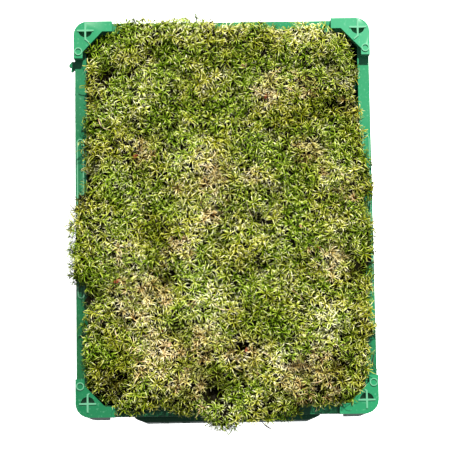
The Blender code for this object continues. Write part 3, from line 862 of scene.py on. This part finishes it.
def build_turf(number, node):
    helpers = scene.collection
    bed = as_object(turf_base(node, BED_INSETS, BED_CUTS, False), "cushion_" + node[-2:], helpers)
    # The bed takes the darkest colour in full: leaf mould, and painted shade in the gaps between the shoots.
    depth = bed.data.attributes.new("depth", "FLOAT", "POINT").data
    depth.foreach_set("value", [1] * len(depth))
    paint(bed.data, node)
    ground = as_object(turf_base(node, GROUND_INSETS, GROUND_CUTS, True), "ground", helpers)
    paint(ground.data, node)
    first = len(surface_points)
    surface_points.extend(point.co.copy() for point in ground.data.vertices)
    surface_faces.extend([first + corner for corner in face.vertices] for face in ground.data.polygons)
    modifier = bed.modifiers.new("shoots", "NODES")
    modifier.node_group = shoots_tree
    for name, value in (
            ("Ground", ground), ("Shoots", shoot_group), ("Spacing", SPACING), ("Low Spacing", LOW_SPACING),
            ("Lean", LEAN), ("Combing", COMBING), ("Rise", RISE), ("Size", SIZE), ("Upright", UPRIGHT),
            ("Seed", number * SEEDS_APART), ("Finish", moss)):
        modifier[shoots_sockets[name]] = value
    bake(bed, bed.name)
    bpy.data.objects.remove(ground)
    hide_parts(node)
    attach(bed, BODY)
    return sum(len(face.vertices) - 2 for face in bed.data.polygons)


surface_points, surface_faces = [], []
triangles = [build_turf(number, node) for number, node in enumerate(turf_names, 1)]
moss_surface = BVHTree.FromPolygons(surface_points, surface_faces)
print("turves:", sum(triangles), "triangles in all, most in one", max(triangles))

# %% [markdown]
# ## Litter on the moss
# Lifted moss brings along what has fallen on it: pale grass straws, dark needles, thin brown
# stalks and curled flakes of dead leaf. Each is laid on the moss where the photo shows it, a
# little over the ground the shoots stand on. A straw is a tapered tube along a bent line.

# %% Litter materials
def plant_litter(name, dark, light, grain):
    """Dead plant matter: dull and streaky, darker where it has rotted."""
    made, tree, shader = new_material(name, Roughness=0.75, Specular_IOR_Level=0.15)
    place = add(tree, "ShaderNodeTexCoord").outputs["Object"]
    spots = add(tree, "ShaderNodeTexNoise", {"Vector": place, "Scale": grain, "Detail": 3}).outputs["Fac"]
    sharper = add(tree, "ShaderNodeMapRange", {
        "Value": spots, "From Min": 0.35, "From Max": 0.65}).outputs[0]
    colour = add(tree, "ShaderNodeMix", {0: sharper, 6: linear(dark), 7: linear(light)}, data_type="RGBA")
    tree.links.new(colour.outputs[2], shader.inputs["Base Color"])
    return made


GRAIN = 180
dry_grass = plant_litter("dry_grass", "#A5865A", "#EBD9B4", GRAIN)
dead_leaf = plant_litter("dead_leaf", "#8A6540", "#D9BC92", GRAIN)
rusty_leaf = plant_litter("rusty_leaf", "#4A2012", "#8A4428", GRAIN)
dark_stalk = plant_litter("dark_stalk", "#1E1610", "#4A3524", GRAIN)

# %% Litter shapes
TUBE_SIDES = 5
LITTER_RISE = 3.4 * MM
FLAKE_THICKNESS = 0.25 * MM
FALL_FROM = 300 * MM


def on_moss(across, down, rise=LITTER_RISE):
    """The place over the moss that the photo shows at these pixels."""
    place = from_photo(across, down)
    for _ in range(3):
        hit, _, _, _ = moss_surface.ray_cast(Vector((place.x, place.y, FALL_FROM)), -UP)
        if hit is None:
            return from_photo(across, down, RIM_LEVEL + rise)
        place = from_photo(across, down, hit.z + rise)
    return place


def add_stalk(shape, places, width):
    """A closed tapered tube through the places."""
    rings = []
    for number, place in enumerate(places):
        before, after = places[max(number - 1, 0)], places[min(number + 1, len(places) - 1)]
        side = (after - before).normalized().orthogonal()
        share = 1 - 0.55 * abs(2 * number / (len(places) - 1) - 1) ** 2
        spin = (after - before).normalized()
        ring = []
        for turn in range(TUBE_SIDES):
            arm = side.copy()
            arm.rotate(Quaternion(spin, 2 * math.pi * turn / TUBE_SIDES))
            ring.append(shape.verts.new(place + arm * width / 2 * share))
        rings.append(ring)
    for lower, upper in zip(rings, rings[1:]):
        for turn in range(TUBE_SIDES):
            after = (turn + 1) % TUBE_SIDES
            shape.faces.new((lower[turn], lower[after], upper[after], upper[turn]))
    shape.faces.new(list(reversed(rings[0])))
    shape.faces.new(rings[-1])


def bent_line(ends, rise, bow, chance, steps=6):
    """Places from one photo pixel to another, bowed sideways and lying on the moss."""
    (x0, y0), (x1, y1) = ends
    places = []
    for step in range(steps + 1):
        share = step / steps
        off = bow * math.sin(math.pi * share)
        across = x0 + (x1 - x0) * share - (y1 - y0) * off + chance.uniform(-0.3, 0.3)
        down = y0 + (y1 - y0) * share + (x1 - x0) * off + chance.uniform(-0.3, 0.3)
        places.append(on_moss(across, down, rise))
    level = sum(place.z for place in places) / len(places)
    for place in places:
        place.z = (place.z + level) / 2
    return places


def add_flake(shape, middle, length, width, heading, curl, chance):
    """A thin curled piece of leaf: a grid bent over its length, with a ragged edge and a thickness."""
    rows, columns = 6, 4
    turned = Quaternion(UP, heading)
    tilted = Quaternion(Vector((chance.uniform(-1, 1), chance.uniform(-1, 1), 0)), 0.5)
    sides = []
    for side in (0.5, -0.5):
        grid = []
        for row in range(rows + 1):
            along = row / rows * 2 - 1
            half = width / 2 * math.sqrt(max(0.04, 1 - along * along))
            line = []
            for column in range(columns + 1):
                over = column / columns * 2 - 1
                lift = curl * width * over * over + 0.12 * length * along * along
                point = Vector((along * length / 2, over * half, lift + side * FLAKE_THICKNESS))
                point.rotate(tilted)
                point.rotate(turned)
                line.append(shape.verts.new(middle + point))
            grid.append(line)
        sides.append(grid)
    top, bottom = sides

    def join(line, beside):
        """A row of faces between two lines of points."""
        for (here, after), (over, past) in zip(zip(line, line[1:]), zip(beside, beside[1:])):
            shape.faces.new((here, after, past, over))

    for side in sides:
        for line, beside in zip(side, side[1:]):
            join(line, beside)
    for row in (0, rows):
        join(top[row], bottom[row])
    for column in (0, columns):
        join([line[column] for line in top], [line[column] for line in bottom])


def litter_piece(shape, name, finish):
    piece = as_object(shape, name, scene.collection)
    piece.data.materials.append(finish)
    piece.data.shade_smooth()
    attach(piece, BODY)
    print(name, len(piece.data.polygons), "faces")
    return piece


# %% Lay the litter
# Straws and stalks: from pixel, to pixel, width in millimetres, sideways bow as a share.
STRAWS = [
    ((330, 157), (350, 181), 1.5, 0.06), ((292, 290), (305, 305), 1.0, -0.1),
    ((322, 270), (336, 265), 0.9, 0.1), ((247, 201), (262, 226), 0.9, 0.12),
    ((98, 118), (110, 130), 1.0, 0.2), ((196, 165), (210, 172), 0.9, -0.2),
    ((168, 330), (186, 346), 0.9, 0.15), ((214, 303), (231, 309), 0.9, 0.2),
    ((262, 352), (274, 366), 1.0, -0.15), ((312, 383), (330, 372), 1.0, 0.15),
    ((115, 330), (128, 344), 0.9, 0.2), ((139, 362), (158, 368), 0.9, -0.15),
]
STALKS = [
    ((262, 422), (271, 429), 1.2, 0.05), ((374, 330), (385, 347), 0.6, -0.2),
    ((385, 347), (379, 355), 0.6, -0.2), ((375, 352), (378, 371), 0.6, 0.2),
    ((341, 345), (352, 338), 0.8, 0.1), ((268, 93), (270, 104), 1.0, 0.1),
    ((203, 352), (214, 349), 0.8, 0.1),
]
# Flakes: pixel, length and width in millimetres, heading in degrees, curl.
LEAF_FLAKES = [(244, 66, 8, 5, 20, 0.3), (170, 345, 5, 3.5, 60, 0.3), (300, 226, 4.5, 3, 100, 0.35)]
RUSTY_FLAKES = [
    (265, 97, 6, 3, 80, 0.4), (136, 157, 7, 4, 10, 0.35), (162, 331, 5, 3, 40, 0.4),
    (318, 247, 5, 3, 130, 0.4), (340, 249, 5, 2.6, 20, 0.4), (247, 350, 5, 3, 70, 0.35),
    (117, 282, 7, 4, 30, 0.3), (372, 188, 7, 3, 100, 0.4),
]
chance = random.Random(23)
for name, listed, finish in (("fallen_straws", STRAWS, dry_grass), ("dark_stalks", STALKS, dark_stalk)):
    shape = bmesh.new()
    for start, end, width, bow in listed:
        add_stalk(shape, bent_line((start, end), LITTER_RISE, bow, chance), width * MM)
    litter_piece(shape, name, finish)
flakes = (("leaf_flakes", LEAF_FLAKES, dead_leaf), ("rusty_flakes", RUSTY_FLAKES, rusty_leaf))
for name, listed, finish in flakes:
    shape = bmesh.new()
    for across, down, length, width, heading, curl in listed:
        middle = on_moss(across, down, LITTER_RISE - 1 * MM)
        add_flake(shape, middle, length * MM, width * MM, math.radians(heading), curl, chance)
    litter_piece(shape, name, finish)

# %% [markdown]
# ## Finish
# The shoots' pattern objects go.

# %% Tidy up and finish
for pattern in list(shoot_group.objects):
    bpy.data.objects.remove(pattern)
bpy.data.collections.remove(shoot_group)
